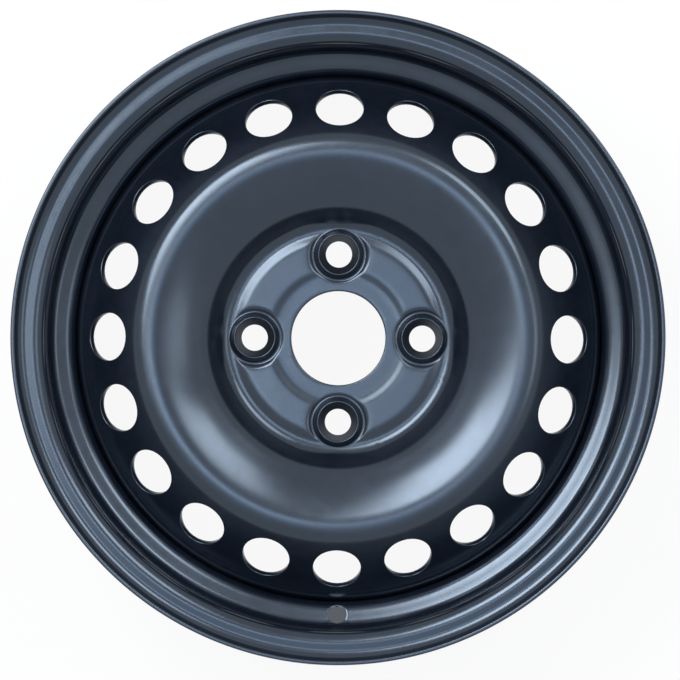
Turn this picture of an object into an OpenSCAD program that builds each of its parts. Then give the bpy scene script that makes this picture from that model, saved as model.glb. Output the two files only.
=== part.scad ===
// Pressed-steel road wheel: a rolled drop-centre rim with a pressed disc welded into its well.
// The wheel lies with its axle along Z and its outer side up. Z is 0 on the disc's hub face.

/* [Rim] */
// Diameter of the bead seats at the flanges
bead_seat_d = 354.8; // [330:0.1:400]
// Width between the bead faces of the two flanges
rim_width = 139.7; // [127:0.1:155]
// Thickness of the rim's sheet
rim_sheet = 2.5; // [2:0.1:3]
// Height of each flange above its bead seat
flange_height = 17.3; // [16:0.1:19]
// Width of each flange, from its bead face to the end of its lip
flange_width = 10.5; // [9.5:0.1:12]
// Lean of the flange face away from the outer side
flange_lean = 5; // [0:0.5:7]
// Radius of the lip's curl, on its hollow side
curl_radius = 6.3; // [5:0.1:8]
// Radius where the bead seat turns into the flange, on the side away from the tyre
heel_radius = 7.7; // [6:0.1:9]
// Taper of the bead seats
seat_taper = 5; // [3:0.5:7]
// Distance from the bead face to the middle of the safety hump
hump_setback = 20; // [18:0.5:22]
// Height of the safety hump above the bead seat
hump_height = 1.2; // [0.5:0.1:2]
// Length of each flank of the safety hump
hump_flank = 3.5; // [2.5:0.1:5]

/* [Well] */
// Depth of the well below the bead seat diameter, on the tyre side
well_depth = 17.8; // [15:0.1:20]
// Length of the well's floor, between its corners
well_floor = 43; // [40:0.5:50]
// Distance from the outer hump to the corner of the well's outer wall
well_setback = 5.5; // [5:0.1:8]
// Tilt of the well's outer wall
well_wall_tilt = 10; // [4:0.5:16]
// Radius between the outer bead seat and the well's wall
wall_root_radius = 5.5; // [4:0.1:7]
// Radius between the well's wall and its floor
nose_radius = 8; // [5:0.1:9]
// Length of the ledge beside the inner hump
ledge_length = 11.5; // [6:0.5:16]
// Radius at both ends of the ramp from the well's floor up to the ledge
ramp_radius = 12; // [8:0.5:16]
// Diameter of the valve hole
valve_hole_d = 11.3; // [9:0.1:12.5]

/* [Disc] */
// Distance from the rim's middle plane out to the hub face
wheel_offset = 45; // [38:0.5:50]
// Thickness of the disc's sheet
disc_sheet = 3.5; // [3:0.1:4.5]
// Rise of the steep wall between the hub face and the bowl
wall_rise = 12.6; // [9:0.1:15]
// Run of that wall, across the wheel
wall_run = 10.8; // [9:0.1:13]
// Radius between the hub face and the steep wall
wall_foot_radius = 8; // [6:0.5:11]
// Radius between the steep wall and the bowl
wall_top_radius = 14; // [8:0.5:20]
// How far the bowl bulges above the straight line across it
bowl_bulge = 2; // [1:0.1:4]
// Radius of the bowl
bowl_radius = 80; // [50:1:120]
// Height of the crest's corner above the hub face
crest_height = 27.5; // [25:0.1:31]
// Distance from the rim's well in to the crest's inner corner
crest_setback = 45.8; // [42:0.1:50]
// Width of the crest between its two corners
crest_width = 8.4; // [5:0.1:10]
// Drop across the crest
crest_drop = 1.5; // [0.5:0.1:2.5]
// Radius of the crest on its inner side
crest_radius = 27; // [14:0.5:34]
// Radius of the crest on its outer side
brow_radius = 11; // [7:0.5:14]
// Radius where the disc turns into its flange
shoulder_radius = 18; // [15:0.5:22]
// Distance from the disc's welded edge to the inner end of the well's floor
edge_setback = 8; // [7:0.5:12]

/* [Hub] */
// Diameter of the centre bore
bore_d = 56.1; // [52:0.1:62]
// Width of the broken edge of the bore, on the outer side
bore_edge = 0.8; // [0.3:0.1:1.2]
// Diameter of the bolt circle
pitch_circle_d = 100; // [95:0.5:114.3]
// Number of bolt holes
bolt_count = 4; // [4:1:5]
// Diameter of the bolt holes
bolt_hole_d = 15.6; // [14:0.1:17]
// Distance from the bolt circle out to the end of the flat hub face
face_margin = 14.5; // [12.5:0.1:18]
// Width of the low ring between the pads and the end of the hub face
face_ring_width = 1.5; // [1:0.1:3]
// Width of the ring round the centre bore
ring_width = 10.3; // [8:0.1:13]
// Lift of that ring off the hub face
ring_lift = 0.6; // [0.2:0.1:1]
// Lift of the pads between the bolts off the hub face
pad_lift = 1.3; // [1.1:0.1:2]
// Run of the slope from the ring up to the pads
pad_inner_run = 4; // [3:0.1:6]
// Run of the slope from the pads down to the edge of the hub face
pad_outer_run = 4.4; // [3:0.1:6]
// Radius of both of the pads' slopes
pad_radius = 15; // [8:0.5:24]
// Radius of the low round zone that leaves each bolt clear of the pads
bolt_zone_r = 16; // [15.6:0.1:18]
// Tilt of the wall between that zone and the pads
bolt_zone_tilt = 30; // [20:1:45]

/* [Nut seats] */
// Included angle of the seats
seat_angle = 60; // [50:1:75]
// Diameter at the foot of the raised boss round each seat
boss_foot_d = 29.8; // [29:0.1:31]
// Diameter at the boss's rim, before it is rounded
boss_rim_d = 24.2; // [23:0.1:26]
// Height of the boss's rim above the sheet, before it is rounded
boss_height = 5.5; // [4.5:0.1:6.5]
// Radius over the boss's rim
boss_radius = 0.5; // [0.3:0.1:0.8]
// Radius round the foot of the boss
boss_foot_radius = 1.2; // [0.5:0.1:1.6]
// Depth of the pressed groove behind each seat
back_groove_depth = 2.3; // [1:0.1:2.5]

/* [Vents] */
// Number of vent holes
vent_count = 20; // [12:1:22]
// Diameter of the vent holes
vent_d = 28.6; // [22:0.1:30]
// Distance from the rim's well in to the circle of vent holes
vent_setback = 19.5; // [18:0.1:22]

/* [Welds] */
// Number of weld beads between the disc and the rim
weld_count = 4; // [3:1:6]
// Angle that each bead covers
weld_span = 50; // [20:1:56]
// Leg of each bead
weld_leg = 3; // [2.2:0.1:3.4]
// How far each bead bulges over its straight face
weld_bulge = 0.5; // [0:0.1:0.8]

/* [Hidden] */
$fn = 180;

// Greatest distance between a bend and the short lines that draw it
bend_error = 0.02;
// How far a cutter runs past what it cuts
past = 2;
// Turn between the wheel's X axis and the bottom of the wheel, where the valve is
down = -90;

// Rim, as radius and height
seat_r = bead_seat_d / 2;
lip_r = seat_r + flange_height - rim_sheet;
seat_slope = tan(seat_taper);
seat_in_r = seat_r - rim_sheet / cos(seat_taper);
hump_end_r = seat_in_r - (hump_setback + hump_flank) * seat_slope;
well_out_r = seat_r - well_depth;
well_r = well_out_r - rim_sheet;
outer_face_z = rim_width / 2 - wheel_offset;
inner_face_z = -rim_width / 2 - wheel_offset;
wall_root_z = outer_face_z - hump_setback - hump_flank - well_setback;
nose_z = wall_root_z - (hump_end_r - well_r) * tan(well_wall_tilt);
floor_end_z = nose_z - well_floor;
ramp_end_z = inner_face_z + hump_setback + hump_flank + ledge_length;

// Disc, as radius and height
disc_edge_z = floor_end_z + edge_setback;
face_r = pitch_circle_d / 2 + face_margin;
ring_r = bore_d / 2 + ring_width;
pad_foot_r = face_r - face_ring_width;
pad_z = disc_sheet + pad_lift;
wall_angle = atan2(wall_rise, wall_run);
wall_foot_r = face_r + wall_foot_radius * tan(wall_angle / 2);
wall_top = [wall_foot_r + wall_run, disc_sheet + wall_rise];
crest = [well_r - crest_setback, crest_height];
brow = crest + [crest_width, -crest_drop];
bowl = (wall_top + crest) / 2 + [0, bowl_bulge];
shoulder = [well_r, nose_z];
cone_tilt = atan2(brow[1] - shoulder[1], shoulder[0] - brow[0]);

// Nut seats
bolt_r = bolt_hole_d / 2;
boss_rim_z = disc_sheet + boss_height;
seat_tan = tan(seat_angle / 2);

// Unit vector along v
function unit(v) = v / norm(v);

// v turned by an angle to the left
function turned(v, angle) = [
    v[0] * cos(angle) - v[1] * sin(angle),
    v[0] * sin(angle) + v[1] * cos(angle)
];

// A corner's place, without its radius
function at(corner) = [corner[0], corner[1]];

// Direction of the line from corner i to the next one
function heading(line, i) = unit(at(line[i + 1]) - at(line[i]));

// Is corner i one of the line's two ends?
function is_end(line, i) = i == 0 || i == len(line) - 1;

// Turn of the line at corner i, positive to the left
function turn(line, i) =
    let (a = heading(line, i - 1), b = heading(line, i))
    atan2(a[0] * b[1] - a[1] * b[0], a * b);

// Length that the bend at corner i takes from each of its sides
function take(line, i) = is_end(line, i) ? 0 : line[i][2] * tan(abs(turn(line, i)) / 2);

// Share of the bend at corner i that fits on its side towards corner j
function share(line, i, j) =
    min(1, 0.99 * norm(at(line[j]) - at(line[i])) / max(0.001, take(line, i) + take(line, j)));

// Radius of the bend at corner i, as far as its sides leave room
function bend_radius(line, i) = line[i][2] * min(share(line, i, i - 1), share(line, i, i + 1));

// Number of short lines that draw a bend
function bend_steps(r, angle) = max(2, ceil(angle / (2 * acos(1 - bend_error / max(r, 0.5)))));

// Points of the bend at corner i, on the parallel line at distance d to the left
function bend(line, i, d) =
    let (
        angle = turn(line, i),
        side = sign(angle),
        a = heading(line, i - 1),
        r = bend_radius(line, i),
        out = turned(a, -90 * side),
        centre = at(line[i]) - a * r * tan(abs(angle) / 2) - out * r,
        steps = bend_steps(r, abs(angle))
    )
    [for (k = [0:steps]) centre + turned(out, angle * k / steps) * max(0.05, r - side * d)];

// End i of a line, on the parallel line at distance d to the left
function line_end(line, i, d) = at(line[i]) + turned(heading(line, max(0, i - 1)), 90) * d;

// A line of corners [radius, height, bend radius] with its bends drawn, at distance d to the left
function bent(line, d = 0) = [
    for (i = [0:len(line) - 1])
        for (p = is_end(line, i) ? [line_end(line, i, d)] : bend(line, i, d)) p
];

function backwards(points) = [for (i = [len(points) - 1:-1:0]) points[i]];

// Radius of the rim's inside on a bead seat, at a distance in from the bead face
function seat_line(setback) = seat_in_r - setback * seat_slope;

// One flange and bead seat of the rim's inside, from the lip in to the end of the hump
function flange_line(face_z, side) = let (
        heel = [seat_line(-rim_sheet), face_z + side * rim_sheet],
        curl_z = heel[1] - side * (lip_r - heel[0]) * tan(flange_lean)
    )
    [
        [lip_r, face_z + side * flange_width],
        [lip_r, curl_z, curl_radius],
        [heel[0], heel[1], heel_radius],
        [seat_line(hump_setback - hump_flank), face_z - side * (hump_setback - hump_flank), hump_flank],
        [seat_line(hump_setback) + hump_height, face_z - side * hump_setback, hump_flank],
        [hump_end_r, face_z - side * (hump_setback + hump_flank), hump_flank]
    ];

// The whole inside of the rim, from the outer lip to the inner one
rim_line = concat(
    flange_line(outer_face_z, 1),
    [
        [hump_end_r, wall_root_z, wall_root_radius],
        [well_r, nose_z, nose_radius],
        [well_r, floor_end_z, ramp_radius],
        [hump_end_r, ramp_end_z, ramp_radius]
    ],
    backwards(flange_line(inner_face_z, -1))
);

// The outer side of the disc, from inside the bore out to the edge of its flange
disc_line = [
    [bore_d / 2 - past, disc_sheet + ring_lift],
    [ring_r, disc_sheet + ring_lift, pad_radius],
    [ring_r + pad_inner_run, pad_z, pad_radius],
    [pad_foot_r - pad_outer_run, pad_z, pad_radius],
    [pad_foot_r, disc_sheet, pad_radius / 3],
    [wall_foot_r, disc_sheet, wall_foot_radius],
    [wall_top[0], wall_top[1], wall_top_radius],
    [bowl[0], bowl[1], bowl_radius],
    [crest[0], crest[1], crest_radius],
    [brow[0], brow[1], brow_radius],
    [shoulder[0], shoulder[1], shoulder_radius],
    [well_r, disc_edge_z]
];

// Repeats its children round the axle
module round_axle(count, first = 0) {
    for (i = [0:count - 1]) rotate(first + i * 360 / count) children();
}

// Repeats its children at the bolts
module at_bolts() {
    round_axle(bolt_count, down) translate([pitch_circle_d / 2, 0, 0]) children();
}

// Everything below one side of the disc's sheet, before the bolt zones are pressed
module below_sheet(depth, bottom) {
    side = bent(disc_line, -depth);
    rotate_extrude()
        polygon(concat(side, [[side[len(side) - 1][0], bottom], [side[0][0], bottom]]));
}

// What the low zones round the bolts take off the pads, above a height, with their walls widened by reach
module bolt_zones(z, reach) {
    height = pad_lift + past;
    foot_r = bolt_zone_r + reach;
    translate([0, 0, z])
        intersection() {
            cylinder(h = height, r = face_r - face_ring_width / 2);
            at_bolts() cylinder(h = height, r1 = foot_r, r2 = foot_r + height / tan(bolt_zone_tilt));
        }
}

// The raised boss round a nut seat, solid up to where its seat begins
module boss() {
    outside = bent([
        [boss_foot_d / 2 + 2 * boss_foot_radius, disc_sheet],
        [boss_foot_d / 2, disc_sheet, boss_foot_radius],
        [boss_rim_d / 2, boss_rim_z, boss_radius],
        [boss_rim_d / 2 - boss_height * seat_tan, disc_sheet]
    ]);
    seat_top = outside[len(outside) - 2];
    rotate_extrude()
        polygon(concat(
            [for (i = [0:len(outside) - 2]) outside[i]],
            [[0, seat_top[1]], [0, disc_sheet / 2], [outside[0][0], disc_sheet / 2]]
        ));
}

// The cone that a nut seats in, with the hole below it
module nut_seat() {
    cone_z = boss_rim_z - (boss_rim_d / 2 - bolt_r) / seat_tan;
    cone_height = boss_rim_z + past - cone_z;
    translate([0, 0, cone_z])
        cylinder(h = cone_height, r1 = bolt_r, r2 = bolt_r + cone_height * seat_tan);
    translate([0, 0, -past]) cylinder(h = boss_rim_z, r = bolt_r);
}

// The groove pressed into the back of the disc behind the boss's wall, with sides at 45 degrees
module back_groove() {
    middle_r = (boss_rim_d + boss_foot_d) / 4;
    reach = back_groove_depth + past;
    rotate_extrude()
        polygon([
            [middle_r - reach, -past],
            [middle_r, back_groove_depth],
            [middle_r + reach, -past]
        ]);
}

// The centre bore with its broken edges
module centre_bore() {
    top = disc_sheet + ring_lift;
    back_edge = bore_edge / 2;
    translate([0, 0, -past]) cylinder(h = top + 2 * past, r = bore_d / 2);
    translate([0, 0, top - bore_edge])
        cylinder(h = bore_edge + past, r1 = bore_d / 2, r2 = bore_d / 2 + bore_edge + past);
    translate([0, 0, ring_lift - past])
        cylinder(h = back_edge + past, r1 = bore_d / 2 + back_edge + past, r2 = bore_d / 2);
}

// One vent hole, square to the disc's outer cone
module vent() {
    run = shoulder[0] - (well_r - vent_setback);
    translate([well_r - vent_setback, 0, shoulder[1] + run * tan(cone_tilt)])
        rotate([0, cone_tilt, 0])
        translate([0, 0, -disc_sheet - past])
        cylinder(h = disc_sheet + 2 * past, r = vent_d / 2);
}

// The valve hole, square to the well's outer wall and halfway up it
module valve_hole() {
    rotate(down)
        translate([(well_r + hump_end_r) / 2, 0, (wall_root_z + nose_z) / 2])
        rotate([0, -well_wall_tilt, 0])
        translate([0, 0, -rim_sheet - nose_radius])
        cylinder(h = rim_sheet + nose_radius + wall_root_radius, r = valve_hole_d / 2);
}

module rim() {
    color([0.13, 0.16, 0.21])
        difference() {
            rotate_extrude() polygon(concat(bent(rim_line), backwards(bent(rim_line, rim_sheet))));
            valve_hole();
        }
}

module disc() {
    zone_reach = disc_sheet * tan(bolt_zone_tilt / 2);
    color([0.09, 0.11, 0.15])
        difference() {
            union() {
                difference() {
                    below_sheet(0, disc_edge_z);
                    bolt_zones(disc_sheet, 0);
                }
                at_bolts() boss();
            }
            difference() {
                below_sheet(disc_sheet, disc_edge_z - past);
                bolt_zones(0, zone_reach);
            }
            at_bolts() nut_seat();
            at_bolts() back_groove();
            centre_bore();
            round_axle(vent_count, down) vent();
        }
}

module weld_beads() {
    root = [well_r, disc_edge_z];
    face = [[root[0] - weld_leg, root[1]], [root[0], root[1] - weld_leg]];
    swell = (face[0] + face[1]) / 2 + unit([-1, -1]) * weld_bulge;
    color([0.2, 0.21, 0.23])
        round_axle(weld_count, 45 - weld_span / 2)
        rotate_extrude(angle = weld_span)
        polygon([root, face[0], swell, face[1]]);
}

rim();
disc();
weld_beads();
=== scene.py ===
"""Dresses a pressed-steel road wheel in smooth sheet and black paint, and lights it for one studio picture.

The wheel is a rolled rim, a pressed disc and four weld beads. Each is worked out as one whole numpy
surface from the wheel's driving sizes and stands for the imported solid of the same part. Lengths are
millimetres until a mesh is written, which is in metres. The axle is Z, the outer side is up and the valve
hole is towards -Y.
"""

import logging
import math
from collections.abc import Callable, Mapping, Sequence
from dataclasses import dataclass, field
from enum import Enum

import bpy
import numpy as np
from mathutils import Matrix, Vector


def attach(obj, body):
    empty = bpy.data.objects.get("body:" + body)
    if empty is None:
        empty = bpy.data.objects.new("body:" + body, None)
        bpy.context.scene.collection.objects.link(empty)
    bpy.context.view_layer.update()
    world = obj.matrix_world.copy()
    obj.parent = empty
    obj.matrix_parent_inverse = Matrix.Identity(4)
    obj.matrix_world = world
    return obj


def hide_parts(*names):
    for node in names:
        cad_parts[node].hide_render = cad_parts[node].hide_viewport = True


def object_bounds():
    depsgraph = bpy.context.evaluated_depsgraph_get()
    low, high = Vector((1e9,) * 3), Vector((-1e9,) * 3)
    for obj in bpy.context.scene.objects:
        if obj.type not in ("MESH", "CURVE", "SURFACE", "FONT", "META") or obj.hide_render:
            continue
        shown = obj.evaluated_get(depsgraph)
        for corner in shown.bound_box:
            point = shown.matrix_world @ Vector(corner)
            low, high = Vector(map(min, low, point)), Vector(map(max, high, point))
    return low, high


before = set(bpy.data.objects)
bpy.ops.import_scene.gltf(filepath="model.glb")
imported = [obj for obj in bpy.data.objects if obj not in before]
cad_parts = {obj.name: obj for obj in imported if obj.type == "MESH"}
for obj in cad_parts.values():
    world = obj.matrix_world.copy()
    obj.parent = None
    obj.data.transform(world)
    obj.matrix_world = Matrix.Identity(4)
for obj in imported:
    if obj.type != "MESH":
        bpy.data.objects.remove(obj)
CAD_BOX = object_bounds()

LOG = logging.getLogger("steel_wheel")
MM = 0.001
STEPS_ROUND = 240
DOWN_DEG = -90.0
BODY = "root"


class Face(Enum):
    """The two faces of a sheet: the one its section line draws, and the parallel one."""

    DRAWN = "drawn"
    PARALLEL = "parallel"


class Backdrop(Enum):
    """Which rays see the plain white backdrop, as outputs of the Light Path node."""

    CAMERA = "Is Camera Ray"
    GLOSSY = "Is Glossy Ray"
    TRANSMISSION = "Is Transmission Ray"


@dataclass(frozen=True)
class Corner:
    """A corner of a section: its radius from the axle, its height and the radius of the bend there."""

    r: float
    z: float
    bend: float = 0.0


def smooth_ramp(x: np.ndarray, width: float) -> np.ndarray:
    """Zero below, x above, joined over a width by a parabola: (x + width/2) squared over twice the width.

    Args:
        x: Any array.
        width: Width of the joining parabola.

    Returns:
        The ramp at each x.
    """
    parabola = (x + width / 2) ** 2 / (2 * width)
    return np.where(x > width / 2, x, np.where(x < -width / 2, 0.0, parabola))


def soft_lower(a: np.ndarray, b: np.ndarray, power: float = 4.0) -> np.ndarray:
    """A rounded minimum of two heights that aren't negative: ab over the power mean of a and b.

    Args:
        a: One height.
        b: The other height.
        power: How tightly the round edge follows the two.

    Returns:
        The rounded minimum, which is 0 where either height is 0.
    """
    a, b = np.maximum(a, 0.0), np.maximum(b, 0.0)
    both = (a**power + b**power) ** (1 / power)
    return a * b / np.maximum(both, 1e-9)


def graded(count: int) -> np.ndarray:
    """Places from 0 to 1, half even and half by a cosine, so that they are closer at both ends.

    Args:
        count: Number of steps.

    Returns:
        The places after 0 and before 1.
    """
    even = np.arange(1, count) / count
    return (even + (1 - np.cos(np.pi * even)) / 2) / 2


def shares(count: int) -> np.ndarray:
    """Even shares of 1, as a column: one part, two parts and so on to the whole."""
    return np.arange(1, count + 1)[:, None] / count


class BentLine:
    """A line of corners whose bends are arcs, with its parallel lines, as a bent sheet's section has them."""

    def __init__(self, corners: Sequence[Corner]) -> None:
        """Works out each bend's arc.

        Args:
            corners: The corners in order. The first and last are ends and have no bend.
        """
        self.points = np.array([[c.r, c.z] for c in corners])
        sides = np.diff(self.points, axis=0)
        self.lengths = np.linalg.norm(sides, axis=1)
        self.headings = sides / self.lengths[:, None]
        before, after = self.headings[:-1], self.headings[1:]
        cross = before[:, 0] * after[:, 1] - before[:, 1] * after[:, 0]
        self.turns = np.arctan2(cross, (before * after).sum(1))
        bends = np.array([c.bend for c in corners[1:-1]])
        tangents = np.tan(np.abs(self.turns) / 2)
        takes = np.concatenate([[0.0], bends * tangents, [0.0]])
        shares = np.minimum(1.0, 0.99 * self.lengths / np.maximum(1e-3, takes[:-1] + takes[1:]))
        self.radii = bends * np.minimum(shares[:-1], shares[1:])
        self.takes = np.concatenate([[0.0], self.radii * tangents, [0.0]])

    def sample(self, chord: float, angle: float = math.radians(4)) -> tuple[np.ndarray, np.ndarray]:
        """Points along the line, where a bend's point is its centre plus its radius times a turning unit
        vector.

        Args:
            chord: Greatest distance between two points.
            angle: Greatest turn between two points of a bend.

        Returns:
            The points and the unit vectors to the line's left, each as (radius, height) rows.
        """
        points, lefts = [self.points[:1]], [left_of(self.headings[:1])]
        for i, heading in enumerate(self.headings):
            start = self.points[i] + heading * self.takes[i]
            run = self.lengths[i] - self.takes[i] - self.takes[i + 1]
            along = graded(max(1, math.ceil(run / chord)))[:, None] * run
            points.append(start + along * heading)
            lefts.append(np.repeat(left_of(heading[None]), len(along), 0))
            if i < len(self.turns) and self.radii[i] > 0:
                arc_points, arc_lefts = self._bend(i, chord, angle)
                points.append(arc_points)
                lefts.append(arc_lefts)
        return np.concatenate([*points, self.points[-1:]]), np.concatenate([*lefts,
            left_of(self.headings[-1:])])

    def _bend(self, i: int, chord: float, angle: float) -> tuple[np.ndarray, np.ndarray]:
        """Points and left vectors of the bend after side i, both ends included."""
        turn, radius, heading = self.turns[i], self.radii[i], self.headings[i]
        side = np.sign(turn)
        out = -side * left_of(heading[None])[0]
        centre = self.points[i + 1] - heading * self.takes[i + 1] - out * radius
        steps = max(2, math.ceil(abs(turn) / angle), math.ceil(abs(turn) * radius / chord))
        t = turn * np.arange(steps + 1) / steps
        spoke = np.cos(t)[:, None] * out + np.sin(t)[:, None] * left_of(out[None])[0]
        return centre + spoke * radius, -side * spoke


def left_of(vectors: np.ndarray) -> np.ndarray:
    """Each (radius, height) row turned a quarter turn to the left."""
    return np.stack([-vectors[:, 1], vectors[:, 0]], 1)


def round_end(start: np.ndarray, end: np.ndarray, out: np.ndarray, bends: tuple[float, float],
              steps: int = 4) -> tuple[np.ndarray, np.ndarray, np.ndarray]:
    """A sheet's cut end with both its edges rounded by quarter circles.

    Args:
        start: Where the end begins, on one face of the sheet.
        end: Where it ends, on the other face.
        out: Unit vector out of the sheet.
        bends: Radius at the start and at the end.
        steps: Steps in each quarter circle.

    Returns:
        The two faces' new last points, and the points of the end between them.
    """
    across = (end - start) / np.linalg.norm(end - start)
    t = np.linspace(0, np.pi / 2, steps + 1)[:, None]
    first = start + (across - out) * bends[0] + bends[0] * (out * np.sin(t) - across * np.cos(t))
    last = end - (across + out) * bends[1] + bends[1] * (out * np.cos(t) + across * np.sin(t))
    return first[0], last[-1], np.concatenate([first[1:], last[:-1]])


@dataclass
class Hole:
    """A hole through a sheet: the block of grid cells that gives way to it, and the rings that replace
    them."""

    rows: tuple[int, int]
    columns: tuple[int, int]
    rings: Callable[[np.ndarray, np.ndarray], np.ndarray]


class TurnedSheet:
    """A closed sheet of revolution on a grid of section points by angles, with holes joined in by rings."""

    def __init__(self, line: BentLine, thickness: float, chord: float, bend_step: float,
                 bends: tuple[tuple[float, float], tuple[float, float]]) -> None:
        """Draws the section.

        Args:
            line: Section of one face. The other face is parallel to it, on its left.
            thickness: Distance to the parallel face, negative to lay it on the right.
            chord: Greatest distance between two points of the section.
            bend_step: Greatest turn between two points, in degrees.
            bends: Edge radii at the line's start and at its end, each as (drawn face, parallel face).
        """
        drawn, lefts = line.sample(chord, math.radians(bend_step))
        parallel = drawn + lefts * thickness
        tail, parallel[0], self.start_edge = self._end(parallel[0], drawn[0], -line.headings[0],
            bends[0][::-1])
        drawn[0] = tail
        parallel[-1], drawn[-1], self.end_edge = self._end(drawn[-1], parallel[-1], line.headings[-1],
            bends[1])
        self.faces = {Face.DRAWN: drawn, Face.PARALLEL: parallel}
        self.section = np.concatenate([drawn, self.end_edge, parallel[::-1], self.start_edge])

    @staticmethod
    def _end(start: np.ndarray, end: np.ndarray, out: np.ndarray,
             bends: tuple[float, float]) -> tuple[np.ndarray, np.ndarray, np.ndarray]:
        """Rounds one end and returns the far face's new point, the near face's, and the points between."""
        first, last, between = round_end(start, end, out, bends)
        return last, first, between

    def row(self, face: Face, i: int) -> int:
        """Row of the grid that holds point i of a face."""
        count = len(self.faces[Face.DRAWN])
        return i if face is Face.DRAWN else 2 * count + len(self.end_edge) - 1 - i

    def grid(self) -> np.ndarray:
        """The whole grid as an array of rows by angles by XYZ: radius times (cosine, sine), and height."""
        theta = np.radians(DOWN_DEG + np.arange(STEPS_ROUND) * 360 / STEPS_ROUND)
        r, z = self.section[:, 0, None], self.section[:, 1, None]
        return np.stack([r * np.cos(theta), r * np.sin(theta), np.broadcast_to(z, (len(r), STEPS_ROUND))], 2)

    def height_under(self, face: Face, rows: tuple[int, int]) -> Callable[[np.ndarray], np.ndarray]:
        """A face's height as a function of radius, between two of its points, read along its section."""
        part = self.faces[face][rows[0]:rows[1] + 1]
        part = part[np.argsort(part[:, 0], kind="stable")]
        return lambda r: np.interp(r, part[:, 0], part[:, 1])

    def mesh(self, grid: np.ndarray, holes: Sequence[Hole]) -> tuple[np.ndarray, np.ndarray]:
        """Joins the holes into the grid. A hole's rings run from the drawn face through it to the parallel
        face.

        Args:
            grid: Rows by angles by XYZ, with both faces shaped.
            holes: The holes, whose blocks don't touch.

        Returns:
            The vertices, and the quads as rows of four vertex numbers.
        """
        rows, columns = grid.shape[:2]
        keep = np.ones((rows, columns), bool)
        vertices, quads = [grid.reshape(-1, 3)], []
        count = rows * columns
        for hole in holes:
            (i0, i1), (j0, j1) = hole.rows, hole.columns
            block = np.arange(j0, j1) % columns
            near, far = self.row(Face.DRAWN, i0), self.row(Face.PARALLEL, i1)
            keep[near:near + i1 - i0, block] = False
            keep[far:far + i1 - i0, block] = False
            loops = [self._loop(face, hole) for face in Face]
            corners = [grid.reshape(-1, 3)[loop] for loop in loops]
            rings = hole.rings(*corners)
            inner = count + np.arange(rings.shape[0] * rings.shape[1]).reshape(rings.shape[:2])
            count += inner.size
            vertices.append(rings.reshape(-1, 3))
            quads.append(strip(np.concatenate([loops[0][None], inner, loops[1][None]])))
        i, j = np.nonzero(keep)
        up, side = (i + 1) % rows, (j + 1) % columns
        quads.append(np.stack([i * columns + j, up * columns + j, up * columns + side,
            i * columns + side], 1))
        return drop_unused(np.concatenate(vertices), np.concatenate(quads))

    def _loop(self, face: Face, hole: Hole) -> np.ndarray:
        """Vertex numbers round a hole's block on one face, along its first row and then outwards."""
        (i0, i1), (j0, j1) = hole.rows, hole.columns
        wide, tall = np.arange(j0, j1), np.arange(i0, i1)
        i = np.concatenate([np.full(j1 - j0, i0), tall, np.full(j1 - j0, i1), tall[::-1] + 1])
        j = np.concatenate([wide, np.full(i1 - i0, j1), wide[::-1] + 1, np.full(i1 - i0, j0)])
        return self.row(face, 0) * STEPS_ROUND + (
            i if face is Face.DRAWN else -i) * STEPS_ROUND + j % STEPS_ROUND


def strip(rings: np.ndarray) -> np.ndarray:
    """Quads between each ring of vertex numbers and the next one, closed round the ring."""
    here, there = rings[:-1], rings[1:]
    quads = [here, there, np.roll(there, -1, 1), np.roll(here, -1, 1)]
    return np.stack(quads, 2).reshape(-1, 4)


def drop_unused(vertices: np.ndarray, quads: np.ndarray) -> tuple[np.ndarray, np.ndarray]:
    """Leaves out the vertices that no quad uses.

    Args:
        vertices: XYZ rows.
        quads: Rows of four vertex numbers.

    Returns:
        The vertices in use and the renumbered quads.
    """
    used, numbers = np.unique(quads, return_inverse=True)
    return vertices[used], numbers.reshape(-1, 4)


def outwards(vertices: np.ndarray, faces: Sequence[np.ndarray]) -> list[np.ndarray]:
    """Turns the faces of a closed mesh outwards, by the sign of the volume that they hold.

    Args:
        vertices: XYZ rows.
        faces: Arrays of vertex numbers, a row for each face.

    Returns:
        The arrays, all reversed if the volume was negative.
    """
    fans = [vertices[rows[:, [0, k, k + 1]]] for rows in faces for k in range(1, rows.shape[1] - 1)]
    volume = sum((fan[:, 0] * np.cross(fan[:, 1], fan[:, 2])).sum() for fan in fans)
    return [rows if volume > 0 else rows[:, ::-1] for rows in faces]


def add_mesh(name: str, vertices: np.ndarray, *faces: np.ndarray) -> bpy.types.Object:
    """Makes a smooth-shaded closed object at the origin.

    Args:
        name: Name of the object and of its mesh.
        vertices: XYZ rows in millimetres.
        faces: Arrays of vertex numbers, a row for each face: the quads, and the triangles if there are any.

    Returns:
        The new object.
    """
    faces = outwards(vertices, faces)
    sizes = np.concatenate([np.full(len(rows), rows.shape[1]) for rows in faces])
    mesh = bpy.data.meshes.new(name)
    mesh.vertices.add(len(vertices))
    mesh.loops.add(int(sizes.sum()))
    mesh.polygons.add(len(sizes))
    mesh.vertices.foreach_set("co", (vertices * MM).astype(np.float32).ravel())
    mesh.loops.foreach_set("vertex_index", np.concatenate([rows.ravel() for rows in faces]).astype(np.int32))
    mesh.polygons.foreach_set("loop_start", (np.cumsum(sizes) - sizes).astype(np.int32))
    mesh.polygons.foreach_set("use_smooth", np.ones(len(sizes), bool))
    mesh.update(calc_edges=True)
    mesh.validate()
    made = bpy.data.objects.new(name, mesh)
    bpy.context.scene.collection.objects.link(made)
    return made


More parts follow.
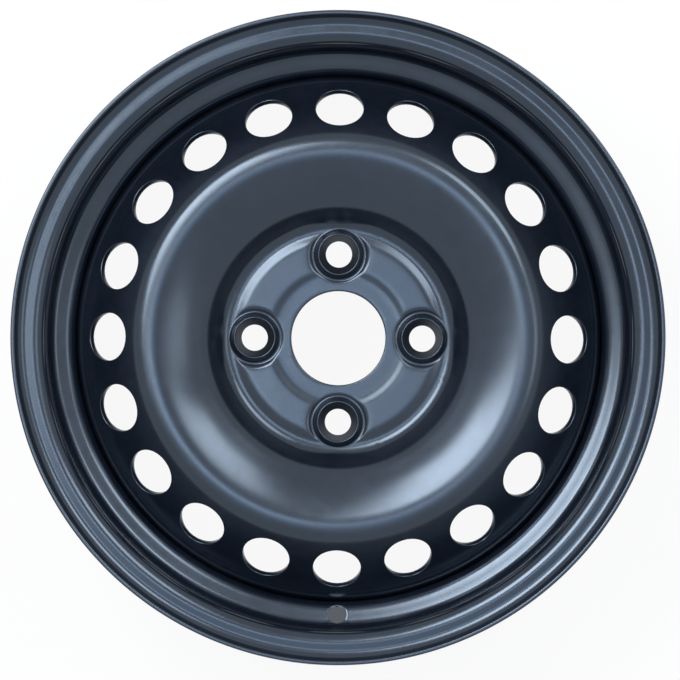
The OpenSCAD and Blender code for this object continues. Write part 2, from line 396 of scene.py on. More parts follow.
@dataclass(frozen=True)
class PunchedHole:
    """A round hole punched square through a tilted part of a turned sheet."""

    sheet: TurnedSheet
    radius: float
    centre_r: float
    centre_z: float
    tilt_deg: float
    angle_deg: float
    reach_rows: tuple[int, int]
    edge: float = 0.5
    edge_steps: int = 3
    spread_rings: int = 6
    search: float = 25.0
    halvings: int = 40

    def frame(self) -> tuple[np.ndarray, np.ndarray, np.ndarray, np.ndarray]:
        """The hole's centre, its two cross directions and its axis out of the sheet, as XYZ."""
        theta, tilt = math.radians(self.angle_deg), math.radians(self.tilt_deg)
        radial = np.array([math.cos(theta), math.sin(theta), 0.0])
        round_ = np.array([-math.sin(theta), math.cos(theta), 0.0])
        up = np.array([0.0, 0.0, 1.0])
        centre = radial * self.centre_r + up * self.centre_z
        along = radial * math.cos(tilt) - up * math.sin(tilt)
        return centre, along, round_, radial * math.sin(tilt) + up * math.cos(tilt)

    def depth(self, face: Face, rho: np.ndarray, phi: np.ndarray) -> np.ndarray:
        """Distance along the axis to a face of the sheet, at polar places round the axis, by halving.

        Args:
            face: The face to reach.
            rho: Distances from the axis.
            phi: Angles round it.

        Returns:
            The signed distance from the hole's centre plane at each place.
        """
        centre, along, round_, axis = self.frame()
        base = centre + rho[..., None] * (np.cos(phi)[..., None] * along + np.sin(phi)[..., None] * round_)
        height = self.sheet.height_under(face, self.reach_rows)
        low, high = np.full(rho.shape, -self.search), np.full(rho.shape, self.search)
        for _ in range(self.halvings):
            middle = (low + high) / 2
            at = base + middle[..., None] * axis
            above = at[..., 2] > height(np.hypot(at[..., 0], at[..., 1]))
            low, high = np.where(above, low, middle), np.where(above, middle, high)
        return (low + high) / 2

    def rings(self, drawn: np.ndarray, parallel: np.ndarray) -> np.ndarray:
        """Rings from one face to the other: polar lines drawn in to the hole, a round edge, the wall and
        back out.

        Args:
            drawn: XYZ round the hole's block on the drawn face.
            parallel: XYZ round it on the parallel face.

        Returns:
            Rings by places round the hole by XYZ.
        """
        centre, along, round_, axis = self.frame()
        turn = np.linspace(0, np.pi / 2, self.edge_steps + 1)[:, None]
        parts = []
        for face, loop in ((Face.DRAWN, drawn), (Face.PARALLEL, parallel)):
            flat = loop - centre
            u, v = flat @ along, flat @ round_
            rho, phi = np.hypot(u, v), np.arctan2(v, u)
            share = shares(self.spread_rings) ** 0.8
            spread = rho + (self.radius + self.edge - rho) * share
            angles = np.broadcast_to(phi, spread.shape)
            depth = self.depth(face, spread, angles)
            inward = -1 if face is Face.DRAWN else 1
            rim_rho = self.radius + self.edge * (1 - np.sin(turn[1:])) + 0 * phi
            rim_depth = depth[-1] + inward * self.edge * (1 - np.cos(turn[1:]))
            rhos = np.concatenate([spread, rim_rho])
            depths = np.concatenate([depth, rim_depth])
            angles = np.broadcast_to(phi, rhos.shape)
            cross = np.cos(angles)[..., None] * along + np.sin(angles)[..., None] * round_
            parts.append(centre + rhos[..., None] * cross + depths[..., None] * axis)
        return np.concatenate([parts[0], parts[1][::-1]])


@dataclass
class RolledRim:
    """The rim: a flat strip rolled into a hoop and formed into two flanges, two bead seats and a deep
    well."""

    bead_seat_d: float = 354.8
    width: float = 139.7
    offset: float = 45.0
    sheet: float = 2.5
    flange_height: float = 17.3
    flange_width: float = 10.5
    flange_lean: float = 5.0
    curl_radius: float = 6.3
    heel_radius: float = 7.7
    seat_taper: float = 5.0
    hump_setback: float = 20.0
    hump_height: float = 1.2
    hump_flank: float = 3.5
    well_depth: float = 17.8
    well_floor: float = 43.0
    well_setback: float = 5.5
    wall_tilt: float = 10.0
    wall_root_radius: float = 5.5
    nose_radius: float = 8.0
    ledge_length: float = 11.5
    ramp_radius: float = 12.0
    valve_hole_d: float = 11.3
    lip_bend: float = 0.8
    chord: float = 3.4
    bend_step: float = 6.0
    valve_block: float = 7.3
    valve_columns: int = 2
    well_r: float = field(init=False)
    nose_z: float = field(init=False)
    floor_end_z: float = field(init=False)

    def __post_init__(self) -> None:
        """Works out the sizes that the disc and the welds share."""
        self.seat_in_r = self.bead_seat_d / 2 - self.sheet / math.cos(math.radians(self.seat_taper))
        self.slope = math.tan(math.radians(self.seat_taper))
        self.hump_end_r = self.seat_in_r - (self.hump_setback + self.hump_flank) * self.slope
        self.well_r = self.bead_seat_d / 2 - self.well_depth - self.sheet
        self.outer_z = self.width / 2 - self.offset
        self.inner_z = -self.width / 2 - self.offset
        self.root_z = self.outer_z - self.hump_setback - self.hump_flank - self.well_setback
        self.nose_z = self.root_z - (self.hump_end_r - self.well_r) * math.tan(math.radians(self.wall_tilt))
        self.floor_end_z = self.nose_z - self.well_floor

    def flange(self, face_z: float, side: int) -> list[Corner]:
        """One flange and bead seat of the rim's inside, from the lip to the end of the safety hump.

        Args:
            face_z: Height of the bead face.
            side: 1 for the outer flange and -1 for the inner one.

        Returns:
            The corners in order.
        """
        lip_r = self.bead_seat_d / 2 + self.flange_height - self.sheet
        heel_r = self.seat_in_r + self.sheet * self.slope
        heel_z = face_z + side * self.sheet
        curl_z = heel_z - side * (lip_r - heel_r) * math.tan(math.radians(self.flange_lean))
        hump = self.hump_setback
        return [
            Corner(lip_r, face_z + side * self.flange_width),
            Corner(lip_r, curl_z, self.curl_radius),
            Corner(heel_r, heel_z, self.heel_radius),
            Corner(self.seat_in_r - (hump - self.hump_flank) * self.slope,
                   face_z - side * (hump - self.hump_flank), self.hump_flank),
            Corner(self.seat_in_r - hump * self.slope + self.hump_height, face_z - side * hump,
                self.hump_flank),
            Corner(self.hump_end_r, face_z - side * (hump + self.hump_flank), self.hump_flank),
        ]

    def line(self) -> BentLine:
        """The whole inside of the rim, from the outer lip to the inner one."""
        ramp_end_z = self.inner_z + self.hump_setback + self.hump_flank + self.ledge_length
        well = [
            Corner(self.hump_end_r, self.root_z, self.wall_root_radius),
            Corner(self.well_r, self.nose_z, self.nose_radius),
            Corner(self.well_r, self.floor_end_z, self.ramp_radius),
            Corner(self.hump_end_r, ramp_end_z, self.ramp_radius),
        ]
        return BentLine([*self.flange(self.outer_z, 1), *well, *self.flange(self.inner_z, -1)[::-1]])

    def build(self) -> bpy.types.Object:
        """Makes the rim's mesh.

        Returns:
            The rim, with its valve hole open.
        """
        edges = (self.lip_bend, self.lip_bend)
        sheet = TurnedSheet(self.line(), self.sheet, self.chord, self.bend_step, (edges, edges))
        drawn = sheet.faces[Face.DRAWN]
        centre = np.array([(self.well_r + self.hump_end_r) / 2, (self.root_z + self.nose_z) / 2])
        tilt = math.radians(self.wall_tilt)
        lateral = (drawn - centre) @ np.array([math.cos(tilt), math.sin(tilt)])
        below = np.abs(drawn[:, 1] - centre[1])
        wall = np.nonzero(np.maximum(np.abs(lateral), below) < self.valve_block)[0]
        rows = (int(wall[0]), int(wall[-1]))
        reach = (rows[0] - 3, rows[1] + 3)
        hole = PunchedHole(sheet, self.valve_hole_d / 2, centre[0], centre[1], -self.wall_tilt,
            DOWN_DEG, reach,
                           edge=0.3, spread_rings=3)
        columns = (-self.valve_columns, self.valve_columns)
        return add_mesh("rolled_rim", *sheet.mesh(sheet.grid(), [Hole(rows, columns, hole.rings)]))


@dataclass
class PressedDisc:
    """The disc: one sheet drawn into a hub face, a bowl, a crest and a flange that fits the rim's well."""

    rim: RolledRim
    sheet: float = 3.5
    wall_rise: float = 12.6
    wall_run: float = 10.8
    wall_foot_radius: float = 8.0
    wall_top_radius: float = 14.0
    bowl_bulge: float = 2.0
    bowl_radius: float = 80.0
    crest_height: float = 27.5
    crest_setback: float = 45.8
    crest_width: float = 8.4
    crest_drop: float = 1.5
    crest_radius: float = 27.0
    brow_radius: float = 11.0
    shoulder_radius: float = 18.0
    edge_setback: float = 8.0
    bore_d: float = 56.1
    bore_edge: float = 0.8
    pitch_circle_d: float = 100.0
    bolt_count: int = 4
    bolt_hole_d: float = 15.6
    face_margin: float = 14.5
    face_ring_width: float = 1.5
    ring_width: float = 10.3
    ring_lift: float = 0.6
    pad_lift: float = 1.3
    pad_inner_run: float = 4.0
    pad_outer_run: float = 4.4
    pad_radius: float = 15.0
    bolt_zone_r: float = 16.0
    bolt_zone_tilt: float = 30.0
    seat_angle: float = 60.0
    boss_foot_d: float = 29.8
    boss_rim_d: float = 24.2
    boss_height: float = 5.5
    boss_radius: float = 0.5
    boss_foot_radius: float = 1.2
    back_groove_depth: float = 2.3
    vent_count: int = 20
    vent_d: float = 28.6
    vent_setback: float = 19.5
    chord: float = 3.0
    bend_step: float = 6.0
    flange_bend: float = 0.4
    hub_margin: float = 3.0
    bolt_columns: int = 15
    bolt_block: float = 19.7
    wide_rings: int = 6
    close_rings: int = 7
    ring_gap: float = 0.4
    vent_columns: int = 5
    vent_block: float = 18.2

    def __post_init__(self) -> None:
        """Works out the places that the section and the holes share."""
        self.well_r = self.rim.well_r
        self.edge_z = self.rim.floor_end_z + self.edge_setback
        self.face_r = self.pitch_circle_d / 2 + self.face_margin
        self.pad_foot_r = self.face_r - self.face_ring_width
        self.ring_r = self.bore_d / 2 + self.ring_width
        wall_angle = math.atan2(self.wall_rise, self.wall_run)
        self.wall_foot_r = self.face_r + self.wall_foot_radius * math.tan(wall_angle / 2)
        self.crest_r = self.well_r - self.crest_setback
        self.brow_r = self.crest_r + self.crest_width
        self.brow_z = self.crest_height - self.crest_drop
        self.cone_tilt = math.degrees(math.atan2(self.brow_z - self.rim.nose_z, self.well_r - self.brow_r))

    def outer_corners(self) -> list[Corner]:
        """Corners of the disc's outer side, from the foot of the steep wall to the end of its flange."""
        top_r, top_z = self.wall_foot_r + self.wall_run, self.sheet + self.wall_rise
        return [
            Corner(self.wall_foot_r, self.sheet, self.wall_foot_radius),
            Corner(top_r, top_z, self.wall_top_radius),
            Corner((top_r + self.crest_r) / 2, (top_z + self.crest_height) / 2 + self.bowl_bulge,
                self.bowl_radius),
            Corner(self.crest_r, self.crest_height, self.crest_radius),
            Corner(self.brow_r, self.brow_z, self.brow_radius),
            Corner(self.well_r, self.rim.nose_z, self.shoulder_radius),
            Corner(self.well_r, self.edge_z),
        ]

    def padded_line(self) -> BentLine:
        """The outer side with its ring and pads, through the middle of a pad."""
        ring_z, pad_z = self.sheet + self.ring_lift, self.sheet + self.pad_lift
        hub = [
            Corner(self.bore_d / 2, ring_z),
            Corner(self.ring_r, ring_z, self.pad_radius),
            Corner(self.ring_r + self.pad_inner_run, pad_z, self.pad_radius),
            Corner(self.pad_foot_r - self.pad_outer_run, pad_z, self.pad_radius),
            Corner(self.pad_foot_r, self.sheet, self.pad_radius / 3),
        ]
        return BentLine([*hub, *self.outer_corners()])

    def plain_height(self, face: Face) -> Callable[[np.ndarray], np.ndarray]:
        """Height of the hub face and the wall round it without ring or pads, as a function of radius."""
        corners = [Corner(self.bore_d / 2, self.sheet), *self.outer_corners()[:4]]
        points, lefts = BentLine(corners).sample(0.2, math.radians(0.5))
        if face is Face.PARALLEL:
            points = points - lefts * self.sheet
        return lambda r: np.interp(r, points[:, 0], points[:, 1])

    def bolt_centres(self) -> np.ndarray:
        """XY of the bolt circle's holes."""
        theta = np.radians(DOWN_DEG + np.arange(self.bolt_count) * 360 / self.bolt_count)
        return self.pitch_circle_d / 2 * np.stack([np.cos(theta), np.sin(theta)], 1)

    def hub_height(self, face: Face, x: np.ndarray, y: np.ndarray) -> np.ndarray:
        """Height of the hub: the plain height plus the lift of ring and pads, held down round each bolt.

        The lift at a radius is that of the padded section over the plain one. Round each bolt it is the
        rounded minimum of that and a cone, which rises from the low zone's edge at the tilt of its wall.

        Args:
            face: The outer side is drawn and the back is parallel.
            x: Places across the wheel.
            y: Places along it.

        Returns:
            The height at each place.
        """
        r = np.hypot(x, y)
        plain = self.plain_height(face)(r)
        points, lefts = self.padded_line().sample(0.2, math.radians(0.5))
        if face is Face.PARALLEL:
            points = points - lefts * self.sheet
        lift = np.interp(r, points[:, 0], points[:, 1]) - plain
        tilt = math.radians(self.bolt_zone_tilt)
        zone_r = self.bolt_zone_r + (self.sheet * math.tan(tilt / 2) if face is Face.PARALLEL else 0.0)
        rho = np.min([np.hypot(x - cx, y - cy) for cx, cy in self.bolt_centres()], axis=0)
        rise = smooth_ramp(rho - zone_r, 1.0) * math.tan(tilt)
        return np.where(r < self.face_r, plain + soft_lower(lift, rise), plain + np.maximum(lift, 0.0))

    def seat_line(self) -> BentLine:
        """Section of a bolt hole: over the boss, down the nut's cone, through the hole and over the back's
        groove."""
        half_tan = math.tan(math.radians(self.seat_angle / 2))
        hole_r, rim_r, foot_r = self.bolt_hole_d / 2, self.boss_rim_d / 2, self.boss_foot_d / 2
        rim_z = self.sheet + self.boss_height
        groove_r = (rim_r + foot_r) / 2
        depth = self.back_groove_depth
        return BentLine([
            Corner(self.bolt_zone_r, self.sheet),
            Corner(foot_r, self.sheet, self.boss_foot_radius),
            Corner(rim_r, rim_z, self.boss_radius),
            Corner(hole_r, rim_z - (rim_r - hole_r) / half_tan, 0.6),
            Corner(hole_r, 0.0, 0.4),
            Corner(groove_r - depth, 0.0, 1.0),
            Corner(groove_r, depth, 1.0),
            Corner(groove_r + depth, 0.0, 1.0),
            Corner(self.bolt_zone_r + depth / 2, 0.0),
        ])

    def bolt_rings(self, centre: np.ndarray) -> Callable[[np.ndarray, np.ndarray], np.ndarray]:
        """The rings of one bolt hole: polar lines from its block to the low zone, and then its section.

        Args:
            centre: XY of the hole.

        Returns:
            A function of the two faces' loops that gives rings by places by XYZ.
        """
        points, _ = self.seat_line().sample(0.8, math.radians(14))
        through = int(np.argmin(points[:, 0] + points[:, 1]))

        def spread(face: Face, loop: np.ndarray, last: float) -> np.ndarray:
            """Rings from a block's loop in to a distance from the bolt, on the hub's height."""
            flat = loop[:, :2] - centre
            rho, unit = np.hypot(*flat.T), flat / np.hypot(*flat.T)[:, None]
            near = rho.min() - self.ring_gap
            wide = rho + (near - rho) * shares(self.wide_rings) ** 0.85
            close = near + (last - near) * shares(self.close_rings) + 0 * rho
            xy = centre + np.concatenate([wide, close])[..., None] * unit
            return np.concatenate([xy, self.hub_height(face, xy[..., 0], xy[..., 1])[..., None]], 2)

        def rings(drawn: np.ndarray, parallel: np.ndarray) -> np.ndarray:
            """All the rings, from the outer side through the hole to the back."""
            outer = spread(Face.DRAWN, drawn, points[0, 0])
            back = spread(Face.PARALLEL, parallel, points[-1, 0])
            unit = drawn[:, :2] - centre
            unit = unit / np.hypot(*unit.T)[:, None]
            xy = centre + points[1:-1, 0, None, None] * unit
            shift = [self.hub_height(face, xy[..., 0], xy[..., 1]) - flat
                     for face, flat in ((Face.DRAWN, self.sheet), (Face.PARALLEL, 0.0))]
            on_front = (np.arange(1, len(points) - 1) < through)[:, None]
            z = points[1:-1, 1, None] + np.where(on_front, shift[0], shift[1])
            return np.concatenate([outer, np.concatenate([xy, z[..., None]], 2), back[::-1]])

        return rings

    def build(self) -> bpy.types.Object:
        """Makes the disc's mesh.

        Returns:
            The disc, with its bore, bolt holes and vents open.
        """
        edges = ((self.bore_edge, self.bore_edge / 2), (self.flange_bend, self.flange_bend))
        sheet = TurnedSheet(self.padded_line(), -self.sheet, self.chord, self.bend_step, edges)
        drawn = sheet.faces[Face.DRAWN]
        grid = sheet.grid()
        on_hub = np.nonzero(drawn[:, 0] < self.wall_foot_r + self.hub_margin)[0]
        for face in Face:
            rows = [sheet.row(face, i) for i in on_hub]
            grid[rows, :, 2] = self.hub_height(face, grid[rows, :, 0], grid[rows, :, 1])
        holes = [*self._bolt_holes(drawn), *self._vents(sheet, drawn)]
        return add_mesh("pressed_disc", *sheet.mesh(grid, holes))

    def _bolt_holes(self, drawn: np.ndarray) -> list[Hole]:
        """The bolt holes, each in a block of the hub's grid."""
        middle = self.pitch_circle_d / 2
        rows = np.nonzero(np.abs(drawn[:, 0] - middle) < self.bolt_block)[0]
        block = (int(rows[0]) - 1, int(rows[-1]) + 1)
        step = STEPS_ROUND // self.bolt_count
        return [Hole(block, (k * step - self.bolt_columns, k * step + self.bolt_columns),
            self.bolt_rings(centre))
                for k, centre in enumerate(self.bolt_centres())]

    def _vents(self, sheet: TurnedSheet, drawn: np.ndarray) -> list[Hole]:
        """The vents, each in a block of the outer cone's grid."""
        centre_r = self.well_r - self.vent_setback
        tilt = math.radians(self.cone_tilt)
        centre_z = self.rim.nose_z + self.vent_setback * math.tan(tilt)
        on_cone = np.abs((drawn[:, 0] - centre_r) / math.cos(tilt)) < self.vent_block
        rows = np.nonzero(on_cone & (drawn[:, 1] > self.rim.nose_z))[0]
        block = (int(rows[0]), int(rows[-1]))
        reach = (block[0] - 2, block[1] + 2)
        step = STEPS_ROUND // self.vent_count
        return [Hole(block, (k * step - self.vent_columns, k * step + self.vent_columns),
                     PunchedHole(sheet, self.vent_d / 2, centre_r, centre_z, self.cone_tilt,
                                 DOWN_DEG + k * 360 / self.vent_count, reach).rings)
                for k in range(self.vent_count)]


@dataclass
class WeldBead:
    """One fillet weld between the disc's edge and the rim's well, laid as a row of overlapping ripples."""

    disc: PressedDisc
    middle_deg: float
    span_deg: float = 50.0
    leg: float = 3.0
    bulge: float = 0.55
    ripple: float = 0.16
    pitch: float = 2.6
    lean: float = 1.5
    taper: float = 4.0
    sunk: float = 0.25
    face_share: float = 0.6
    tip: float = 0.001
    steps_along: int = 420
    steps_across: int = 28

    def swell(self, along: np.ndarray, across: np.ndarray) -> np.ndarray:
        """How far the face stands out: a half sine across the bead, and a ripple under its square root.

        The ripple is a saw wave along the bead, four parts up and one part down, which lags behind at both
        sides.

        Args:
            along: Distance along the bead.
            across: Place across its face, from 0 to 1.

        Returns:
            The height over a straight face.
        """
        phase = (along - self.lean * (2 * across - 1) ** 2) / self.pitch
        saw = phase - np.floor(phase)
        wave = np.where(saw < 0.8, saw / 0.8, (1 - saw) / 0.2)
        arch = np.sin(np.pi * across)
        return arch * self.bulge + arch**0.5 * self.ripple * (wave - 0.5)

    def build(self, name: str) -> bpy.types.Object:
        """Makes the bead: a fillet's closed section carried along its stretch of the well.

        The section's face runs from the well to the disc's end, and its back lies a little inside the two
        sheets. Both ends taper to a point as a circle does.

        Args:
            name: Name of the piece.

        Returns:
            The bead.
        """
        half = math.radians(self.span_deg / 2)
        u = np.linspace(-1, 1, self.steps_along + 1)[:, None]
        v = np.linspace(0, 1, self.steps_across, endpoint=False)[None]
        along = half * u * self.disc.well_r
        end = np.clip((half * self.disc.well_r - np.abs(along)) / self.taper, 0, 1)
        size = np.sqrt(1 - (1 - end) ** 2) * (1 - self.tip) + self.tip
        leg = self.leg * size
        across = np.clip(v / self.face_share, 0, 1)
        back = np.clip((v - self.face_share) / (1 - self.face_share), 0, 1)
        out = self.swell(along, across) * size * math.sqrt(0.5)
        inset = self.sunk * size * np.sin(np.pi * back)
        on_face = v < self.face_share
        dr = np.where(on_face, -leg * (1 - across) - out, inset - leg * np.clip(back * 2 - 1, 0, 1))
        dz = np.where(on_face, -leg * across - out, inset - leg * (1 - np.clip(back * 2, 0, 1)))
        theta = math.radians(self.middle_deg) + half * u
        r, z = self.disc.well_r + dr, self.disc.edge_z + dz
        grid = np.stack([r * np.cos(theta), r * np.sin(theta), z], 2)
        numbers = np.arange(z.size).reshape(z.shape)
        caps = [np.stack([np.full_like(ring, z.size + k), np.roll(ring, shift), ring], 1)
                for k, (ring, shift) in enumerate(((numbers[0], 1), (numbers[-1], -1)))]
        vertices = np.concatenate([grid.reshape(-1, 3), grid[[0, -1]].mean(1)])
        return add_mesh(name, vertices, strip(numbers), np.concatenate(caps))


class Value:
    """A number in a shader, whose operators add Math nodes to its tree."""

    def __init__(self, tree: bpy.types.NodeTree, socket: bpy.types.NodeSocket) -> None:
        """Wraps an output socket of a node tree."""
        self.tree = tree
        self.socket = socket

    def _math(self, operation: str, first: "Value | float", second: "Value | float") -> "Value":
        """A Math node on two values."""
        node = self.tree.nodes.new("ShaderNodeMath")
        node.operation = operation
        for socket, value in zip(node.inputs, (first, second)):
            if isinstance(value, Value):
                self.tree.links.new(value.socket, socket)
            else:
                socket.default_value = value
        return Value(self.tree, node.outputs[0])

    def __add__(self, other: "Value | float") -> "Value":
        """This plus other."""
        return self._math("ADD", self, other)

    def __radd__(self, other: float) -> "Value":
        """Other plus this."""
        return self._math("ADD", other, self)

    def __sub__(self, other: "Value | float") -> "Value":
        """This less other."""
        return self._math("SUBTRACT", self, other)

    def __rsub__(self, other: float) -> "Value":
        """Other less this."""
        return self._math("SUBTRACT", other, self)

    def __mul__(self, other: "Value | float") -> "Value":
        """This times other."""
        return self._math("MULTIPLY", self, other)

    def __rmul__(self, other: float) -> "Value":
        """Other times this."""
        return self._math("MULTIPLY", other, self)


class Shader:
    """A node tree that is written as calls and expressions."""

    def __init__(self, tree: bpy.types.NodeTree) -> None:
        """Empties the tree."""
        self.tree = tree
        tree.nodes.clear()

    def node(self, kind: str, settings: Mapping[str, object] = {}, inputs: Mapping[str | int, object] = {},
             output: str | int = 0) -> Value:
        """Adds one node.

        Args:
            kind: Its type, without the ShaderNode prefix.
            settings: Its properties, which are set first.
            inputs: Values or links of its sockets, by name, or by number where two share a name.
            output: The output to return.

        Returns:
            That output.
        """
        node = self.tree.nodes.new("ShaderNode" + kind)
        for name, value in settings.items():
            setattr(node, name, value)
        for name, value in inputs.items():
            named = (s for i, s in enumerate(node.inputs) if name == i or s.name == name and s.enabled)
            socket = next(named)
            if isinstance(value, Value):
                self.tree.links.new(value.socket, socket)
            else:
                socket.default_value = value
        return Value(self.tree, node.outputs[output])

    def surface(self, shader: Value) -> None:
        """Links a shader to the material's or world's output."""
        output = self.tree.nodes.new("ShaderNodeOutputWorld" if self.is_world else "ShaderNodeOutputMaterial")
        self.tree.links.new(shader.socket, output.inputs["Surface"])

    @property
    def is_world(self) -> bool:
        """True for a world's tree."""
        return any(w.node_tree == self.tree for w in bpy.data.worlds)

    def backdrop_mask(self) -> Value:
        """One for the rays that see the plain backdrop and zero for those that light the wheel."""
        mask = self.node("LightPath", output=Backdrop.CAMERA.value)
        for ray in (Backdrop.GLOSSY, Backdrop.TRANSMISSION):
            mask = mask + self.node("LightPath", output=ray.value)
        return self.node("Clamp", inputs={"Value": mask})


@dataclass(frozen=True)
class BlackPaint:
    """Dipped black paint: a near-black colour, a soft gloss and the faint unevenness of a dried coat."""

    name: str
    colour: tuple[float, float, float]
    dusty: tuple[float, float, float]
    roughness: float
    roughness_spread: float
    shine: float
    tint: tuple[float, float, float]
    peel_size: float
    peel_depth: float
    lump_size: float
    lump_depth: float

    def build(self) -> bpy.types.Material:
        """Makes the material.

        Colour and roughness drift over hand-sized clouds and finger-wide smears. The coat's surface has an
        even orange peel, and over a weld coarser lumps as well.

        Returns:
            The material.
        """
        material = bpy.data.materials.new(self.name)
        material.use_nodes = True
        s = Shader(material.node_tree)
        place = s.node("TexCoord", output="Object")
        clouds = s.node("TexNoise", inputs={"Vector": place, "Scale": 14.0, "Detail": 3.0, "Roughness": 0.55})
        smears = s.node("TexNoise", inputs={"Vector": place, "Scale": 85.0, "Detail": 2.0, "Distortion": 1.2})
        drift = clouds * 0.65 + smears * 0.35
        mask = s.node("MapRange", {"interpolation_type": "SMOOTHSTEP"},
                      {"Value": drift, "From Min": 0.35, "From Max": 0.65}, "Result")
        blend = {"Factor": mask, "A": (*self.colour, 1), "B": (*self.dusty, 1)}
        colour = s.node("Mix", {"data_type": "RGBA"}, blend, 2)
        roughness = self.roughness + (mask - 0.5) * self.roughness_spread
        peel = s.node("TexNoise", inputs={"Vector": place, "Scale": 1 / self.peel_size, "Detail": 1.0})
        lumps = s.node("TexNoise", inputs={"Vector": place, "Scale": 1 / self.lump_size, "Detail": 2.0})
        height = peel * self.peel_depth + lumps * self.lump_depth
        normal = s.node("Bump", inputs={"Height": height, "Strength": 1.0, "Distance": 1.0})
        s.surface(s.node("BsdfPrincipled", inputs={
            "Base Color": colour, "Roughness": roughness, "Normal": normal,
            "Specular IOR Level": self.shine, "Specular Tint": (*self.tint, 1),
        }))
        return material


DISC_PAINT = BlackPaint("black_paint_disc", (0.004, 0.006, 0.0105), (0.006, 0.009, 0.0155), 0.22, 0.05, 0.62,
                        (0.8, 1.0, 1.25), 0.0016, 0.0000006, 0.02, 0.000004)
RIM_PAINT = BlackPaint("black_paint_rim", (0.004, 0.006, 0.011), (0.0065, 0.0095, 0.0165), 0.2, 0.05, 0.62,
                       (0.8, 1.0, 1.25), 0.0016, 0.0000006, 0.02, 0.000004)
WELD_PAINT = BlackPaint("painted_weld", (0.013, 0.015, 0.019), (0.02, 0.022, 0.025), 0.42, 0.12, 0.5,
                        (1.0, 1.0, 1.0), 0.0008, 0.00001, 0.0022, 0.00004)


@dataclass(frozen=True)
class SoftLamp:
    """A soft lamp that faces the wheel from a direction, as seen from the axle's foot."""

    name: str
    from_axle_deg: float
    round_deg: float
    distance: float
    width: float
    height: float
    radiance: float
    colour: tuple[float, float, float] = (1.0, 1.0, 1.0)

    def build(self) -> bpy.types.Object:
        """Makes the lamp. Its power is radiance times area times pi, as for an even glowing sheet.

        Returns:
            The lamp.
        """
        data = bpy.data.lights.new(self.name, "AREA")
        data.shape = "RECTANGLE"
        data.size, data.size_y = self.width, self.height
        data.energy = self.radiance * self.width * self.height * math.pi
        data.color = self.colour
        lamp = bpy.data.objects.new(self.name, data)
        polar, round_ = math.radians(self.from_axle_deg), math.radians(self.round_deg)
        out = Vector((math.sin(polar) * math.cos(round_), math.sin(polar) * math.sin(round_),
            math.cos(polar)))
        lamp.location = out * self.distance
        lamp.rotation_euler = out.to_track_quat("Z", "Y").to_euler()
        lamp.visible_camera = False
        bpy.context.scene.collection.objects.link(lamp)
        return lamp


@dataclass(frozen=True)
class Studio:
    """A white floor and backdrop with a few soft lamps."""

    floor_half: float = 30.0
    floor_white: float = 0.86
    shadow_share: float = 0.08
    sky: tuple[float, float, float] = (0.85, 0.97, 1.12)
    sky_light: float = 0.35
    lamps: tuple[SoftLamp, ...] = (
        SoftLamp("key_lamp", 28, 135, 3.0, 1.3, 1.3, 13.0),
        SoftLamp("fill_lamp", 33, 45, 3.0, 1.0, 1.1, 7.5),
        SoftLamp("side_lamp", 34, 0, 3.0, 0.8, 0.9, 2.5),
        SoftLamp("near_lamp", 8, 180, 3.4, 0.3, 0.9, 5.0),
        SoftLamp("top_lamp", 3, 240, 4.0, 1.1, 1.1, 1.5, (0.75, 1.0, 1.35)),
    )

    def build(self, floor_z: float) -> None:
        """Makes the floor, the backdrop and the lamps.

        Args:
            floor_z: Height of the floor, in metres.
        """
        self._floor(floor_z)
        self._sky()
        for lamp in self.lamps:
            lamp.build()

    def _floor(self, floor_z: float) -> None:
        """A wide pale plane that keeps the wheel's shadow and shows white elsewhere."""
        half = self.floor_half
        mesh = bpy.data.meshes.new("floor")
        corners = [(-half, -half, floor_z), (half, -half, floor_z), (half, half, floor_z), (-half,
            half, floor_z)]
        mesh.from_pydata(corners, [], [(0, 1, 2, 3)])
        floor = bpy.data.objects.new("floor", mesh)
        bpy.context.scene.collection.objects.link(floor)
        material = bpy.data.materials.new("floor_white")
        material.use_nodes = True
        s = Shader(material.node_tree)
        lit = s.node("BsdfDiffuse", inputs={"Color": (self.floor_white,) * 3 + (1,)})
        plain = s.node("Emission", inputs={"Color": (1, 1, 1, 1), "Strength": 1.0})
        share = s.backdrop_mask() * (1 - self.shadow_share)
        s.surface(s.node("MixShader", inputs={"Fac": share, 1: lit, 2: plain}))
        mesh.materials.append(material)

    def _sky(self) -> None:
        """A backdrop that is white to the camera and lights the wheel evenly."""
        world = bpy.data.worlds.new("backdrop")
        bpy.context.scene.world = world
        world.use_nodes = True
        s = Shader(world.node_tree)
        white = s.node("Background", inputs={"Color": (1, 1, 1, 1), "Strength": 1.0})
        light = s.node("Background", inputs={"Color": (*self.sky, 1), "Strength": self.sky_light})
        s.surface(s.node("MixShader", inputs={"Fac": s.backdrop_mask(), 1: light, 2: white}))


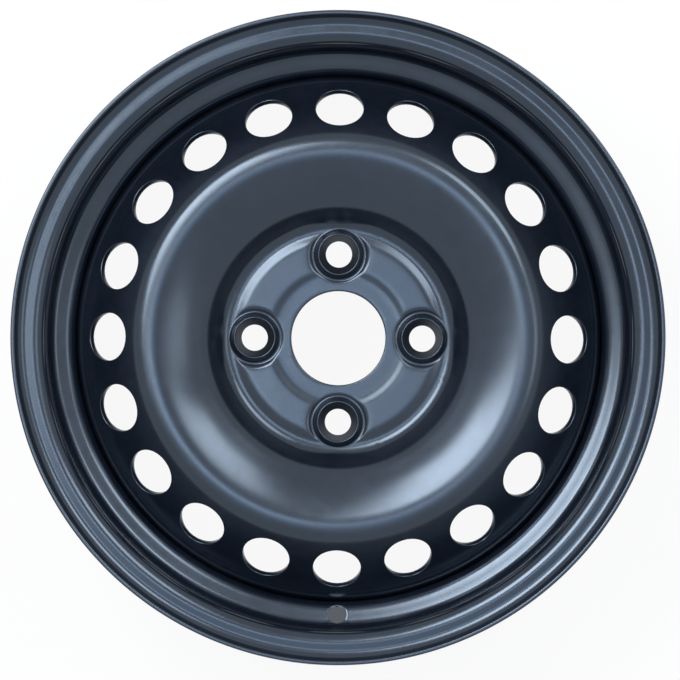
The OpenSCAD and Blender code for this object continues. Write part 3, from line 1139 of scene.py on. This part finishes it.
@dataclass(frozen=True)
class Viewpoint:
    """The camera: nearly straight above the wheel, a little to the right of the axle and below it."""

    distance: float = 6.0
    to_right_deg: float = 0.6
    to_bottom_deg: float = 0.75
    roll_deg: float = 0.36
    picture_px: float = 680.0
    flange_px: tuple[float, float] = (337.87, 337.50)
    flange_radius_px: float = 327.67
    flange_radius: float = 0.1947
    flange_z: float = 0.0335
    sensor: float = 36.0

    def build(self) -> bpy.types.Object:
        """Makes the camera and frames the outer flange at its place in the picture.

        Returns:
            The camera.
        """
        per_px = self.flange_radius / self.flange_radius_px
        data = bpy.data.cameras.new("view")
        data.sensor_width = self.sensor
        data.lens = self.sensor * self.distance / (self.picture_px * per_px)
        back = Vector((math.tan(math.radians(self.to_right_deg)),
            -math.tan(math.radians(self.to_bottom_deg)), 1))
        back.normalize()
        roll = math.radians(self.roll_deg)
        right = Vector((-math.sin(roll), math.cos(roll), 0)).cross(back).normalized()
        up = back.cross(right)
        aside = (self.picture_px / 2 - self.flange_px[0]) * per_px
        below = (self.picture_px / 2 - self.flange_px[1]) * per_px
        place = Vector((0, 0, self.flange_z)) + back * self.distance + right * aside - up * below
        camera = bpy.data.objects.new("view", data)
        camera.matrix_world = Matrix.Translation(place) @ Matrix((right, up, back)).transposed().to_4x4()
        bpy.context.scene.collection.objects.link(camera)
        bpy.context.scene.camera = camera
        return camera


def dress(piece: bpy.types.Object, paint: bpy.types.Material, slot: str, *nodes: str) -> bpy.types.Object:
    """Paints a piece, puts it on the wheel's body and lets it stand for its solid.

    Args:
        piece: The new piece.
        paint: Its material.
        slot: The record's slot for that material; not used.
        nodes: The solids that it stands for.

    Returns:
        The same piece.
    """
    piece.data.materials.append(paint)
    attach(piece, BODY)
    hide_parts(*nodes)
    LOG.info("%s: %d faces", piece.name, len(piece.data.polygons))
    return piece


def main() -> None:
    """Builds the wheel, the studio and the camera."""
    logging.basicConfig(level=logging.INFO, format="%(name)s %(message)s")
    paints = {paint.name: paint.build() for paint in (RIM_PAINT, DISC_PAINT, WELD_PAINT)}
    solids = {"rim": RIM_PAINT, "disc": DISC_PAINT, "weld_beads": WELD_PAINT}
    for name, paint in solids.items():
        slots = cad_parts[name].data.materials
        slots.clear()
        slots.append(paints[paint.name])
    Viewpoint().build()
    rim = RolledRim()
    disc = PressedDisc(rim)
    dress(rim.build(), paints[RIM_PAINT.name], RIM_PAINT.name, "rim")
    dress(disc.build(), paints[DISC_PAINT.name], DISC_PAINT.name, "disc")
    for k in range(4):
        bead = WeldBead(disc, 45.0 + 90.0 * k).build(f"weld_bead_{k + 1}")
        dress(bead, paints[WELD_PAINT.name], WELD_PAINT.name, "weld_beads")
    Studio().build(CAD_BOX[0][2])
    bpy.context.scene.view_settings.view_transform = "Standard"


if __name__ == "__main__":
    main()
